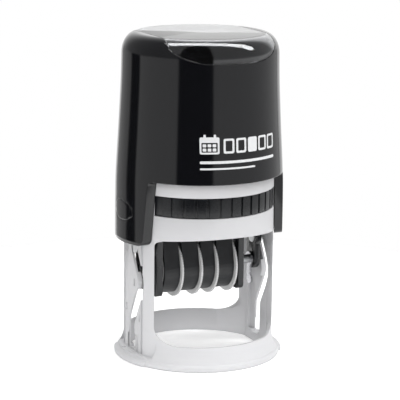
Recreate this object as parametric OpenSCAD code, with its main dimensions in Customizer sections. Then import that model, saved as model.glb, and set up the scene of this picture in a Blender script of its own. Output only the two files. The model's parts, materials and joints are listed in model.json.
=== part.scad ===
// Self-inking round date stamp. The text plate hangs face up under an ink pad.
// Pressing the handle lowers it through the frame and turns it over onto the paper.
// Millimetres. The origin is the centre of the base ring on the table, +Z is up,
// and the front, where the date wheels show, faces -Y.

/* [Print plate] */
// Radius of the round text plate
plate_r = 22.5; // [20:0.5:27]
// Height of the print face over the axle that the carrier turns on
face_h = 7; // [6:0.5:8.5]
// Thickness of the rubber text die
die_t = 2.3; // [1.5:0.1:3]
// Thickness of the rigid plate behind the die
backing_t = 1.3; // [1:0.1:1.6]

/* [Motion] */
// How far the handle travels
travel = 38.5; // [31:0.5:47]
// Gap left when the turning plate passes under the pad
pad_gap = 0.3; // [0.2:0.1:1]
// Gap between pieces that slide past each other
slide_gap = 0.25; // [0.2:0.05:0.35]
// Radial play of a shaft in its bore
shaft_play = 0.05; // [0.02:0.01:0.09]

/* [Frame] */
// Thickness of the round wall of the frame
wall = 1.4; // [1.2:0.1:1.8]
// Thickness of the flat side panels that carry the cam slots
panel_t = 1.8; // [1.7:0.1:2.2]
// Depth that the flat side panels are cut back from the round wall
flat_cut = 1.2; // [0.8:0.1:1.4]
// Height of the ring under the windows
ring_h = 8; // [6:0.5:11]
// How far the base flange stands out from the round wall
flange_out = 2.6; // [2:0.1:4]
// Thickness of the base flange
flange_t = 2.4; // [1.8:0.1:3.2]
// Height of the white band under the ink cassette
lower_band_h = 8.5; // [7:0.5:10]
// Height of the white band over the ink cassette
upper_band_h = 5; // [4.8:0.1:6]

/* [Ink] */
// Height of the ink cassette
cassette_h = 6.8; // [6.5:0.1:7.5]
// Thickness of the ink pad
pad_t = 1.4; // [1:0.1:1.5]

/* [Handle] */
// Wall thickness at the lower edge of the handle
handle_wall = 2.6; // [2.2:0.1:3.2]
// Wall thickness of the handle just under its rounded rim
rim_wall = 0.8; // [0.8:0.1:1.4]
// Height of the rounded rim
rim_h = 7; // [6:0.5:9]
// How far the rounded rim comes in
rim_in = 5.2; // [4.5:0.1:6]
// Room under the skirts when the handle is right down
skirt_room = 3.1; // [3:0.1:5]
// Half width of a side skirt at its top
skirt_half = 13.7; // [12.5:0.1:15]
// Thickness of the clear index window
window_t = 1.1; // [0.9:0.1:1.5]

/* [Date wheels] */
// Widths of the four drums from left to right
drum_w = [5.85, 6.25, 5, 6.25];
// Radius of the thumb discs
disc_r = 10.3; // [9.4:0.1:10.6]
// Thickness of a thumb disc
disc_t = 0.7; // [0.6:0.1:1]
// Radius of the drums inside the bands
drum_r = 7.6; // [7:0.1:8]
// Thickness of a date band
band_t = 1; // [0.8:0.1:1.2]
// Distance of the wheel axle from the carrier's axle
wheel_drop = 14.5; // [13.8:0.1:15]

/* [Hidden] */
$fn = 96;
tiny = 0.01;
over = 60;

// Sizes across: everything round grows outwards from the text plate.
swing_r = sqrt(plate_r * plate_r + face_h * face_h);
shell_in = swing_r + 0.85;
frame_r = shell_in + wall;
panel_out = frame_r - flat_cut;
panel_in = panel_out - panel_t;
ring_in = frame_r - 0.9;
flange_r = frame_r + flange_out;
flange_side = flange_r + 0.8;
flat_half = sqrt(frame_r * frame_r - panel_out * panel_out);
window_x = panel_in - 0.5;
bore_r = frame_r + slide_gap;
skirt_r = bore_r + handle_wall + 0.2;
handle_low_r = bore_r + handle_wall;
handle_high_r = bore_r + rim_wall;

// Heights: the axle sits at face_h when the plate is on the paper.
axle_z = face_h + travel;
face_z = axle_z + face_h;
// The plate's rising edge goes above the resting face as it starts to turn.
edge_rise = max([for (a = [0:1:90]) face_h * cos(a) + plate_r * sin(a) - face_h - travel * a / 180]);
pad_z = face_z + edge_rise + pad_gap;
cassette_top = pad_z + pad_t + 0.8;
cassette_z = cassette_top - cassette_h;
window_top = cassette_z - 0.1 - lower_band_h;
band_gap = 0.1;
head_top = cassette_top + band_gap + upper_band_h;
roof_z = cassette_top + 1.6;
cup_r = 7.7;
cup_z = roof_z + 0.1;
skirt_z = travel + skirt_room;
seat_z = skirt_room - slide_gap;
bore_top = head_top + travel + 0.5;
rim_z = bore_top + 1.5;
top_z = rim_z + rim_h;

// Cam slot: the pin turns about the falling axle, so its path is a falling circle.
pin_reach = 6.2;
pin_r = 2.2;
pin_start = 8;
slot_r = pin_r + 0.2;
function cam_at(turn) = [
  -pin_reach * sin(turn + pin_start),
  axle_z - travel * turn / 180 - pin_reach * cos(turn + pin_start)
];
function cam_side(turn, side) =
  let (here = cam_at(turn), ahead = cam_at(turn + 0.5), back = cam_at(turn - 0.5))
  let (run = ahead - back, size = norm(run))
  here + side * slot_r * [-run[1], run[0]] / size;
cam_step = 6;
end_ease = 0.03;

// Drive yoke: two flat legs run in channels inside the side panels.
leg_t = 0.8;
leg_gap = 0.1;
leg_in = panel_in + leg_gap;
leg_out = leg_in + leg_t;
channel_out = leg_out + 0.15;
leg_y0 = 3.4;
leg_y1 = 6.2;
boss_r = 2.6;
axle_r = 1.5;
yoke_z = bore_top + 2.4;
yoke_t = 0.8;
yoke_ring_r = 11.5;
yoke_hole_r = 8;
screw_x = 14;
screw_r = 1.2;
screw_head_r = 2.2;
screw_head_h = 1.2;
leg_mid = (leg_y0 + leg_y1) / 2;

// Return spring between the cup in the frame's head and the handle's roof.
spring_r = 6.3;
wire_r = 0.4;
spring_turns = 9;
ring_steps = 14;
wire_sides = 6;

// Handle top: the clear window wraps over the front and back rims.
card_t = 0.3;
roof_t = 1.8;
card_z = top_z - window_t - card_t - 0.05;
roof_under = card_z - 0.05 - roof_t;
lobe_x = plate_r * 0.855;
tongue_drop = 7.7;
tongue_rise = 4.2;
tongue_z = top_z - tongue_drop;

// Lock buttons in the skirts.
button_z = skirt_z + 11;
button_half_y = 7.2;
button_half_z = 3.3;
button_end_z = 1.2;
button_gap = 0.15;
button_lip = 0.8;

// Carrier, measured from its axle.
die_low = face_h - die_t;
backing_low = die_low - backing_t;
deck_t = 1.5;
deck_low = backing_low - deck_t;
deck_r = plate_r - 0.3;
ear_out = panel_in - 0.6;
ear_t = 2;
ear_in = ear_out - ear_t;
stack_x = -16.55;
side_gap = 0.25;
function stack_to(i) = i == 0 ? stack_x : stack_to(i - 1) + drum_w[i - 1] + disc_t + side_gap;
stack_end = stack_to(4) - side_gap;
cheek_t = 2;
cheek_left = stack_x - 0.6;
cheek_right = stack_end + 1.1;
cheek_half = 8.4;
cheek_corner = 2;
arm_half = 3.4;
wheel_z = axle_z - wheel_drop;
band_in = drum_r + 0.12;
band_out = band_in + band_t;
bridge_half = 3.6;
bridge_r = 1.2;
bridge_top = face_h - band_t - 0.3;
bridge_low = deck_low + 0.1;
window_half = bridge_half + band_t + 1.6;
window_left = stack_x - 0.3;
window_right = stack_end + 0.3;

black = [0.06, 0.06, 0.07];
white = [0.86, 0.87, 0.88];
steel = [0.72, 0.73, 0.75];
light_grey = [0.78, 0.78, 0.76];

function arc(cx, cy, r, a0, a1, n = 8) =
  [for (i = [0:n]) let (a = a0 + (a1 - a0) * i / n) [cx + r * cos(a), cy + r * sin(a)]];

// A plate standing in the YZ plane, from x0 to x1; its outline is drawn as [y, z].
module along_x(x0, x1) {
  translate([x0, 0, 0])
    rotate([90, 0, 90])
      linear_extrude(x1 - x0) children();
}

// A plate standing in the XZ plane, from y0 to y1; its outline is drawn as [x, z].
module along_y(y0, y1) {
  translate([0, y1, 0])
    rotate([90, 0, 0])
      linear_extrude(y1 - y0) children();
}

module rod(x0, x1, r, y, z) {
  translate([x0, y, z])
    rotate([0, 90, 0])
      cylinder(r = r, h = x1 - x0);
}

module slab(half_x, z0, z1) {
  translate([-half_x, -over, z0])
    cube([2 * half_x, 2 * over, z1 - z0]);
}

module both_sides() {
  children();
  mirror([1, 0, 0]) children();
}

// ---------------------------------------------------------------- frame

// The window opening, with wide lower corners and a gently arched top.
module window_outline() {
  low_r = 6;
  high_r = 1.8;
  arch = 1.5;
  arch_r = (window_x * window_x + arch * arch) / (2 * arch);
  arch_a = asin((window_x - high_r) / arch_r);
  arch_z = window_top + arch - arch_r;
  polygon(concat(
    arc(window_x - low_r, ring_h + low_r, low_r, -90, 0),
    arc(window_x - high_r, window_top - high_r, high_r, 0, 80, 5),
    arc(0, arch_z, arch_r, 90 - arch_a, 90 + arch_a, 16),
    arc(-window_x + high_r, window_top - high_r, high_r, 100, 180, 5),
    arc(-window_x + low_r, ring_h + low_r, low_r, 180, 270)
  ));
}

module cam_slot_outline() {
  top = cam_at(0);
  end = cam_at(180);
  polygon(concat(
    [for (t = [0:cam_step:180]) cam_side(t, 1)],
    [for (t = [180:-cam_step:0]) cam_side(t, -1)]
  ));
  // rounded ends, a hair smaller than the lanes that run into them
  translate(top) circle(r = slot_r - end_ease);
  translate(end) circle(r = slot_r - end_ease);
  // entry lane, through which the pin comes down from the head
  translate([top[0] - slot_r, top[1]])
    square([2 * slot_r, window_top + 4 - top[1]]);
  // foot of the slot, down to the flange
  translate([end[0] - slot_r, seat_z + 0.35])
    square([2 * slot_r, end[1] - seat_z - 0.35]);
}

// Room for one yoke leg and its boss inside the left panel.
module leg_channel() {
  low = face_h - boss_r - 0.3;
  translate([-channel_out, leg_y0 - slide_gap, low])
    cube([channel_out - panel_in + tiny, leg_y1 - leg_y0 + 2 * slide_gap, over * 2]);
  translate([-channel_out, -boss_r - slide_gap, low])
    cube([channel_out - panel_in + tiny, leg_y1 + boss_r + 2 * slide_gap, axle_z + 5 - low]);
  translate([-channel_out, leg_y0 - slide_gap, cassette_z])
    cube([leg_t + 0.35, leg_y1 - leg_y0 + 2 * slide_gap, over * 2]);
}

// Small moulded pockets in the outer face of the left panel: [y, z].
pockets = [[5.4, 38], [-1.2, 27], [5.4, 17], [-5.6, 15.5]];

foot_groove_r = 1.2;
foot_groove_l = 9;
groove_w = 1.3;
groove_depth = 0.7;
groove_y = flat_half - 0.4;

module panel_marks() {
  for (p = pockets)
    translate([-panel_out - tiny, p[0] - 0.5, p[1] - 1.3])
      cube([0.35, 1, 2.6]);
  // grooves along the edges of the flat panel
  for (side = [-1, 1])
    translate([-panel_out - 1, side * groove_y - groove_w / 2, seat_z + 0.3])
      cube([1 + groove_depth, groove_w, head_top - 3.3 - seat_z]);
}

module flange() {
  rotate_extrude()
    polygon(concat(
      [[ring_in, 0], [flange_r - 0.6, 0]],
      arc(flange_r - 0.6, 0.6, 0.6, -60, 0, 3),
      arc(flange_r - 1.2, flange_t - 1.2, 1.2, 0, 70, 5),
      [[frame_r + 1.5, flange_t + 0.5], [frame_r + 0.7, flange_t + 2.2], [frame_r, ring_h], [ring_in, ring_h]]
    ));
  // web between the flat panels and the ring
  both_sides()
    translate([panel_in, -flat_half - 1, 0])
      cube([ring_in - panel_in + 0.2, 2 * flat_half + 2, seat_z + 1]);
  // the flange is wider under the skirts
  both_sides()
    intersection() {
      rotate_extrude()
        polygon(concat(
          [[ring_in, 0], [flange_side - 0.6, 0]],
          arc(flange_side - 0.6, 0.6, 0.6, -60, 0, 3),
          arc(flange_side - 1, flange_t - 1.2, 1, 0, 80, 5),
          [[ring_in, flange_t - 0.2]]
        ));
      translate([10, -skirt_half + 1.2, -1])
        cube([over, 2 * skirt_half - 2.4, 10]);
    }
}

module base_frame() {
  color(white)
    difference() {
      union() {
        intersection() {
          cylinder(r = frame_r, h = head_top);
          slab(panel_out, 0, head_top);
        }
        flange();
      }
      // inside of the columns and of the head
      intersection() {
        translate([0, 0, -1]) cylinder(r = shell_in, h = roof_z - 0.5 + 1);
        slab(panel_in, -1, roof_z - 0.5);
      }
      // the ring is bored wider
      intersection() {
        translate([0, 0, -1]) cylinder(r = ring_in, h = ring_h + 1 + tiny);
        slab(panel_in, -1, ring_h + tiny);
      }
      along_y(-over, over) window_outline();
      // opening for the ink cassette
      translate([-window_x, -over, cassette_z - band_gap])
        cube([2 * window_x, 2 * over, cassette_h + 2 * band_gap]);
      both_sides() {
        along_x(-over, -panel_in + 1) cam_slot_outline();
        leg_channel();
        panel_marks();
        // finger groove in the flange at the foot of the panel
        translate([-panel_out - foot_groove_r - 0.1, foot_groove_l / 2, seat_z + 0.8])
          rotate([90, 0, 0])
            cylinder(r = foot_groove_r, h = foot_groove_l);
      }
      // seats that the skirts come down to; above them the panels stay flat
      intersection() {
        difference() {
          translate([0, 0, seat_z]) cylinder(r = over, h = ring_h);
          intersection() {
            cylinder(r = frame_r, h = over);
            slab(panel_out, 0, over);
          }
        }
        translate([-over, -skirt_half, 0]) cube([2 * over, 2 * skirt_half, over]);
      }
      // cup for the return spring
      difference() {
        translate([0, 0, cup_z]) cylinder(r = cup_r, h = over);
        cylinder(r = spring_r - wire_r - 0.5, h = over * 2);
      }
      translate([0, 0, head_top + 2]) cylinder(r = cup_r, h = over);
    }
}

// ---------------------------------------------------------------- ink

module ink_cassette() {
  grip_count = 13;
  grip_step = 9;
  color(black)
    difference() {
      intersection() {
        translate([0, 0, cassette_z]) cylinder(r = frame_r - 0.1, h = cassette_h);
        slab(window_x - 0.15, 0, over * 2);
      }
      // room for the turning plate
      translate([0, 0, cassette_z - 1]) cylinder(r = plate_r + 0.9, h = pad_z - cassette_z + 1);
      // seat for the pad
      translate([0, 0, pad_z - 1]) cylinder(r = plate_r - 0.7, h = pad_t + 1);
      for (end = [0, 180])
        for (i = [0:grip_count - 1])
          rotate([0, 0, end + (i - (grip_count - 1) / 2) * grip_step])
            translate([-0.45, -frame_r - 0.5, cassette_z + 0.5])
              cube([0.9, 1.05, cassette_h - 1]);
    }
}

module ink_pad() {
  color([0.1, 0.1, 0.14])
    intersection() {
      translate([0, 0, pad_z]) cylinder(r = plate_r - 0.8, h = pad_t - 0.02);
      slab(window_x - 0.6, 0, over * 2);
    }
}

// ---------------------------------------------------------------- handle

function rim_curve(grow) =
  [for (a = [0:7.5:90]) [handle_high_r - rim_in + (rim_in + grow) * cos(a), rim_z + (rim_h + grow) * sin(a)]];

// Half outline of the outside of the handle, from the skirts up to the axis.
function handle_outside() = concat(
  [
    [skirt_r + 0.1, skirt_z - 2],
    [skirt_r, head_top - 4],
    [handle_low_r, head_top + 1],
    [handle_low_r - 0.9, head_top + travel * 0.45],
    [handle_high_r + 0.25, head_top + travel * 0.8]
  ],
  rim_curve(0),
  [[0, top_z]]
);

// Side view of what is left of the round shell: [y, z].
module skirt_outline() {
  low_half = skirt_half - 1.5;
  low_r = 2.4;
  in_r = 1.5;
  polygon(concat(
    [[over, top_z + 5], [over, head_top]],
    arc(skirt_half + in_r, head_top - in_r, in_r, 90, 180, 5),
    arc(low_half - low_r, skirt_z + low_r + 0.3, low_r, 0, -80, 6),
    [[0, skirt_z]],
    arc(-low_half + low_r, skirt_z + low_r + 0.3, low_r, 260, 180, 6),
    arc(-skirt_half - in_r, head_top - in_r, in_r, 0, 90, 5),
    [[-over, head_top], [-over, top_z + 5]]
  ));
}

// Front view of the clear window with its tongue over the rim: [x, z].
module tongue_outline(grow) {
  half = lobe_x + grow;
  polygon(concat(
    [[half, top_z + 5], [half, tongue_z + tongue_rise - grow]],
    [for (i = [9:-1:-9]) let (s = i / 10) [s * half, tongue_z - grow + tongue_rise * pow(s, 4)]],
    [[-half, tongue_z + tongue_rise - grow], [-half, top_z + 5]]
  ));
}

// An eye with blunt ends: [y, z].
module button_outline(grow) {
  y = button_half_y + grow;
  z = button_half_z + grow;
  rise = button_half_z - button_end_z;
  r = (y * y + rise * rise) / (2 * rise);
  a = asin(y / r);
  translate([0, button_z])
    polygon(concat(
      arc(0, z - r, r, 90 - a, 90 + a, 14),
      arc(0, r - z, r, 270 - a, 270 + a, 14)
    ));
}

module handle_shell() {
  color(black)
    difference() {
      intersection() {
        rotate_extrude() polygon(concat([[0, skirt_z - 2]], handle_outside()));
        along_x(-over, over) skirt_outline();
      }
      // bore that slides over the frame's head
      translate([0, 0, skirt_z - 3]) cylinder(r = bore_r, h = bore_top - skirt_z + 3);
      // room for the yoke's bridge
      difference() {
        translate([0, 0, bore_top - 1]) cylinder(r = bore_r - 0.9, h = roof_under - bore_top + 1);
        // posts for the yoke's screws
        for (side = [-1, 1])
          translate([side * screw_x, leg_mid, yoke_z + yoke_t]) cylinder(r = 3, h = over);
        // stub that centres the spring
        translate([0, 0, roof_under - 2]) cylinder(r = spring_r - wire_r - 0.5, h = over);
      }
      for (side = [-1, 1])
        translate([side * screw_x, leg_mid, yoke_z]) cylinder(r = screw_r + shaft_play, h = 4.2);
      // seat for the index card
      intersection() {
        translate([0, 0, card_z - 0.05]) cylinder(r = handle_high_r - rim_in + 0.2, h = 10);
        slab(lobe_x - 0.5, 0, over * 4);
      }
      // seat for the clear window
      intersection() {
        difference() {
          rotate_extrude()
            polygon(concat([[0, tongue_z - 9], [handle_high_r + 4, tongue_z - 9]], [[handle_high_r + 4, top_z + 4], [0, top_z + 4]]));
          rotate_extrude()
            polygon(concat([[0, tongue_z - 10], [handle_high_r - 0.5, tongue_z - 10]], rim_curve(-0.5), [[0, rim_z + rim_h - 0.5]]));
        }
        along_y(-over, over) tongue_outline(0.12);
      }
      intersection() {
        translate([0, 0, top_z - window_t - 0.05]) cylinder(r = handle_high_r - rim_in + 0.2, h = 10);
        slab(lobe_x + 0.12, 0, over * 4);
      }
      both_sides() {
        along_x(-over, -panel_out) button_outline(button_gap);
        along_x(-bore_r - button_lip - 0.1, -panel_out) button_outline(0.8 + button_gap);
      }
    }
}

// The window is thin over the rim and full thickness over the card.
module index_window() {
  color([0.85, 0.9, 0.95, 0.4])
    intersection() {
      difference() {
        rotate_extrude()
          polygon(concat([[0, tongue_z - 2], [handle_high_r, tongue_z - 2]], rim_curve(0), [[0, top_z]]));
        rotate_extrude()
          polygon(concat(
            [[0, tongue_z - 3], [handle_high_r - 0.45, tongue_z - 3]],
            [for (p = rim_curve(-0.45)) if (p[1] < top_z - window_t || p[0] > handle_high_r - rim_in + 0.1) p],
            [[handle_high_r - rim_in + 0.1, rim_z + rim_h - 0.45], [handle_high_r - rim_in + 0.1, top_z - window_t], [0, top_z - window_t]]
          ));
      }
      along_y(-over, over) tongue_outline(0);
    }
}

module index_card() {
  color([0.75, 0.76, 0.78])
    intersection() {
      translate([0, 0, card_z]) cylinder(r = handle_high_r - rim_in + 0.05, h = card_t);
      slab(lobe_x - 0.65, 0, over * 4);
    }
}

module lock_button() {
  inner = bore_r + 0.1;
  color(black) {
    intersection() {
      along_x(-over, -inner) button_outline(0);
      cylinder(r = skirt_r + 0.05, h = over * 2);
    }
    along_x(-inner - button_lip, -inner) button_outline(0.8);
  }
}

module lock_button_left() {
  lock_button();
}

module lock_button_right() {
  mirror([1, 0, 0]) lock_button();
}

// ---------------------------------------------------------------- drive and spring

module drive_yoke() {
  color(steel)
    difference() {
      union() {
        translate([0, 0, yoke_z]) cylinder(r = yoke_ring_r, h = yoke_t);
        translate([-leg_out, leg_y0, yoke_z]) cube([2 * leg_out, leg_y1 - leg_y0, yoke_t]);
        both_sides() {
          translate([-leg_out, leg_y0, axle_z - boss_r]) cube([leg_t, leg_y1 - leg_y0, yoke_z - axle_z + boss_r + tiny]);
          translate([-leg_out, 0, axle_z - boss_r]) cube([leg_t, leg_y0 + tiny, 2 * boss_r]);
          rod(-leg_out, -leg_in, boss_r, 0, axle_z);
        }
      }
      translate([0, 0, yoke_z - 1]) cylinder(r = yoke_hole_r, h = 3);
      rod(-over, over, axle_r + shaft_play / 2, 0, axle_z);
      for (side = [-1, 1])
        translate([side * screw_x, leg_mid, yoke_z - 1]) cylinder(r = screw_r + 0.15, h = 3);
    }
}

module yoke_screws() {
  color(steel)
    for (side = [-1, 1])
      translate([side * screw_x, leg_mid, 0])
        difference() {
          union() {
            translate([0, 0, yoke_z - screw_head_h]) cylinder(r = screw_head_r, h = screw_head_h);
            translate([0, 0, yoke_z - tiny]) cylinder(r = screw_r, h = 4);
          }
          for (turn = [0, 90])
            rotate([0, 0, turn])
              translate([-1.3, -0.25, yoke_z - screw_head_h - tiny])
                cube([2.6, 0.5, 0.6]);
        }
}

// One wire swept along a helix, with a ring of points every few degrees.
module return_spring() {
  low = cup_z + wire_r + 0.02;
  high = roof_under - wire_r - 0.02;
  rings = spring_turns * ring_steps;
  points = [
    for (i = [0:rings])
      let (a = 360 * i / ring_steps, z = low + (high - low) * i / rings)
        for (k = [0:wire_sides - 1])
          let (b = 360 * k / wire_sides, r = spring_r + wire_r * cos(b))
            [r * cos(a), r * sin(a), z + wire_r * sin(b)]
  ];
  faces = concat(
    [[for (k = [0:wire_sides - 1]) k]],
    [for (i = [0:rings - 1]) for (k = [0:wire_sides - 1])
      let (p = i * wire_sides + k, q = i * wire_sides + (k + 1) % wire_sides)
        [p, p + wire_sides, q + wire_sides, q]],
    [[for (k = [wire_sides - 1:-1:0]) rings * wire_sides + k]]
  );
  color(steel) polyhedron(points, faces);
}

// ---------------------------------------------------------------- carrier

module ear_outline() {
  circle(r = 3.4);
  rotate(-pin_start)
    translate([0, -pin_reach]) circle(r = pin_r + 1.4);
  rotate(-pin_start)
    translate([-pin_r - 1.4, -pin_reach]) square([2 * pin_r + 2.8, pin_reach]);
  translate([-5, 0]) square([10, deck_low + tiny]);
  // arm down to the wheel axle
  translate([-arm_half, -wheel_drop]) square([2 * arm_half, wheel_drop]);
  translate([0, -wheel_drop]) circle(r = arm_half);
}

module cheek_outline() {
  low = -wheel_drop - cheek_half;
  side = cheek_half - cheek_corner;
  polygon(concat(
    [[cheek_half, deck_low + tiny], [-cheek_half, deck_low + tiny]],
    arc(-side, low + cheek_corner, cheek_corner, 180, 270, 5),
    arc(side, low + cheek_corner, cheek_corner, 270, 360, 5)
  ));
}

module band_window(grow) {
  translate([window_left - grow, -window_half - grow, -over])
    cube([window_right - window_left + 2 * grow, 2 * (window_half + grow), 2 * over]);
}

module die_carrier() {
  color(black)
    translate([0, 0, axle_z])
      difference() {
        union() {
          translate([0, 0, deck_low]) cylinder(r = deck_r, h = deck_t);
          both_sides() along_x(-ear_out, -ear_in) ear_outline();
          along_x(cheek_left - cheek_t, cheek_left) cheek_outline();
          along_x(cheek_right, cheek_right + cheek_t) cheek_outline();
          // ribs that tie the ears to the deck
          both_sides()
            translate([-ear_in - tiny, -1, 0]) mirror([1, 0, 0]) translate([-tiny, 0, 0]) cube([0.5, 2, deck_low]);
        }
        band_window(0);
        rod(-over, over, axle_r + shaft_play, 0, 0);
        rotate([-pin_start, 0, 0])
          rod(-over, over, pin_r + shaft_play / 2, 0, -pin_reach);
        rod(-over, over, axle_r + shaft_play / 2, 0, -wheel_drop);
        for (side = [-1, 1])
          rod(-over, over, 1 + shaft_play / 2, side * 2.2, bridge_low - 1.1);
      }
}

module axle_stubs() {
  color(steel)
    both_sides()
      rod(-leg_out, -ear_in + 0.5, axle_r, 0, axle_z);
}

module cam_pins() {
  color(steel)
    translate([0, 0, axle_z])
      rotate([-pin_start, 0, 0])
        both_sides()
          rod(-panel_out + 0.2, -ear_in + 0.3, pin_r, 0, -pin_reach);
}

module text_plate() {
  color([0.2, 0.2, 0.22])
    difference() {
      translate([0, 0, axle_z + backing_low]) cylinder(r = plate_r - 0.1, h = backing_t);
      band_window(0.1);
    }
}

module text_die() {
  bars = 4;
  relief = 0.8;
  color([0.55, 0.2, 0.16])
    difference() {
      translate([0, 0, axle_z + die_low]) cylinder(r = plate_r - 0.1, h = die_t);
      band_window(0.2);
      // ground between the raised rim and the raised date frame
      difference() {
        translate([0, 0, axle_z + face_h - relief]) cylinder(r = plate_r - 1.3, h = 2);
        band_window(1.2);
        for (side = [-1, 1])
          for (i = [0:bars - 2])
            translate([-11 + 2.2 * i, side * (window_half + 3.6 + 2.8 * i) - 0.6, 0])
              cube([22 - 4.4 * i, 1.2, over * 2]);
      }
    }
}

// Anvil that holds the bands up against the paper.
module band_bridge() {
  left = cheek_left + 0.05;
  right = cheek_right - 0.05;
  half = bridge_half - 0.4;
  color(black)
    translate([0, 0, axle_z]) {
      along_x(stack_x - 0.2, stack_end + 0.2)
        polygon(concat(
          [[-bridge_half, bridge_low], [bridge_half, bridge_low]],
          arc(bridge_half - bridge_r, bridge_top - bridge_r, bridge_r, 0, 90, 6),
          arc(-bridge_half + bridge_r, bridge_top - bridge_r, bridge_r, 90, 180, 6)
        ));
      along_x(left, right)
        translate([-half, bridge_low - 2.2]) square([2 * half, 2.3]);
      for (side = [-1, 1])
        rod(cheek_left - cheek_t + 0.2, cheek_right + cheek_t - 0.2, 1, side * 2.2, bridge_low - 1.1);
    }
}

module band_axle() {
  color(steel) rod(-ear_out + 0.3, ear_out - 0.3, axle_r, 0, wheel_z);
}

// Spring strip beside the right arm: a keyhole on the axle and a tail that hangs below it.
module axle_clip() {
  tail = 7.2;
  strip_t = 0.7;
  gap = 0.1;
  color(steel)
    difference() {
      along_x(ear_in - gap - strip_t, ear_in - gap)
        translate([0, wheel_z]) {
          circle(r = 2.5);
          translate([-1.2, -tail]) square([2.4, tail]);
          translate([-0.5, -tail]) circle(r = 1.7);
        }
      rod(-over, over, axle_r + 0.02, 0, wheel_z);
    }
}

module spacer_bush() {
  color(black)
    difference() {
      rod(stack_end + side_gap, cheek_right - 0.1, 4.4, 0, wheel_z);
      rod(-over, over, axle_r + shaft_play, 0, wheel_z);
    }
}

module thumb_wheel(i) {
  teeth = 30;
  x = stack_to(i);
  color(light_grey)
    difference() {
      union() {
        rod(x, x + drum_w[i] + tiny, drum_r, 0, wheel_z);
        rod(x + drum_w[i], x + drum_w[i] + disc_t, disc_r, 0, wheel_z);
      }
      rod(-over, over, axle_r + shaft_play, 0, wheel_z);
      for (k = [0:teeth - 1])
        rod(x + drum_w[i] - 1, x + drum_w[i] + 2, 0.5,
            (disc_r + 0.15) * cos(360 * k / teeth), wheel_z + (disc_r + 0.15) * sin(360 * k / teeth));
    }
}

module loop_outline(around, reach, top) {
  hull() {
    circle(r = around, $fn = 48);
    for (side = [-1, 1])
      translate([side * (reach - top), wheel_drop + face_h - band_t - 0.2 + (around - band_in) - top])
        circle(r = top, $fn = 24);
  }
}

module date_band(i) {
  x = stack_to(i) + 0.1;
  color([0.12, 0.12, 0.13])
    translate([0, 0, wheel_z])
      along_x(x, x + drum_w[i] - 0.2)
        difference() {
          loop_outline(band_out, bridge_half + 0.1 + band_t, bridge_r + band_t);
          loop_outline(band_in, bridge_half + 0.1, bridge_r);
        }
}

module thumb_wheel_1() { thumb_wheel(0); }
module thumb_wheel_2() { thumb_wheel(1); }
module thumb_wheel_3() { thumb_wheel(2); }
module thumb_wheel_4() { thumb_wheel(3); }
module date_band_1() { date_band(0); }
module date_band_2() { date_band(1); }
module date_band_3() { date_band(2); }
module date_band_4() { date_band(3); }

base_frame();
ink_cassette();
ink_pad();
handle_shell();
index_window();
index_card();
lock_button_left();
lock_button_right();
drive_yoke();
yoke_screws();
return_spring();
die_carrier();
axle_stubs();
cam_pins();
text_plate();
text_die();
band_bridge();
band_axle();
axle_clip();
spacer_bush();
thumb_wheel_1();
thumb_wheel_2();
thumb_wheel_3();
thumb_wheel_4();
date_band_1();
date_band_2();
date_band_3();
date_band_4();
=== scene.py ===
# %% [markdown]
# # A self-inking date stamp, piece by piece
# The CAD model says where every part is and how it moves. This notebook builds what the eye sees:
# smooth shells with soft edges, ribs and teeth that repeat, and finishes with a fine grain.
# Most sizes come from the boxes of the CAD parts; wall thicknesses and small radii are written here.

# %% Load the frame
import json
import math

import bmesh
import bpy
import numpy as np
from mathutils import Matrix, Vector


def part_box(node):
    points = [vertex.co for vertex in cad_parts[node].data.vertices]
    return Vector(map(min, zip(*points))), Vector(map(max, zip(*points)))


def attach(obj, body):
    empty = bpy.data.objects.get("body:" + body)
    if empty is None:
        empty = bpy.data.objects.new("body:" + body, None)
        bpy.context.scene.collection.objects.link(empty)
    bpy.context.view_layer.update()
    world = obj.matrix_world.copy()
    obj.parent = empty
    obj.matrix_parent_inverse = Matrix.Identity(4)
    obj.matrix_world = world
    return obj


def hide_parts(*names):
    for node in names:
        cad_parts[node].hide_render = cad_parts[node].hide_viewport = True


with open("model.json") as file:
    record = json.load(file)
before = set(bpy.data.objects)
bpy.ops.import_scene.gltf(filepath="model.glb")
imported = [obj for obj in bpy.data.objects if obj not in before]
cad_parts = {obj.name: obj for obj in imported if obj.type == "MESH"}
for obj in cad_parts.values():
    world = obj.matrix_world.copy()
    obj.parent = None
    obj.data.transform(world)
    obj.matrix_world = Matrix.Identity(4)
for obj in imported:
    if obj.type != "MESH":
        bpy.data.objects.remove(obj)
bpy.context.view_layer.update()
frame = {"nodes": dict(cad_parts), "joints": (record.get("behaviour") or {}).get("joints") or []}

# %% [markdown]
# ## Sizes
# All outlines below are drawn in millimetres, as on a workshop drawing, and are scaled to metres when
# a mesh is made. The driving sizes are read off the CAD boxes; wall thicknesses are the maker's own.

# %% Driving sizes
MM = 0.001


def box_mm(node):
    """Lowest and highest corner of a CAD node, in millimetres."""
    return [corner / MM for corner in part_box(node)]


_, flange_hi = box_mm("base_frame")
cassette_lo, cassette_hi = box_mm("ink_cassette")
handle_lo, _ = box_mm("handle_shell")
window_lo, window_hi = box_mm("index_window")
_, yoke_hi = box_mm("drive_yoke")
stub_lo, stub_hi = box_mm("axle_stubs")
wheel_lo, wheel_hi = box_mm("thumb_wheel_1")
joints = {joint["name"]: joint for joint in frame["joints"]}
travel = joints["handle_press"]["range_m"][1] / MM

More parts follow.
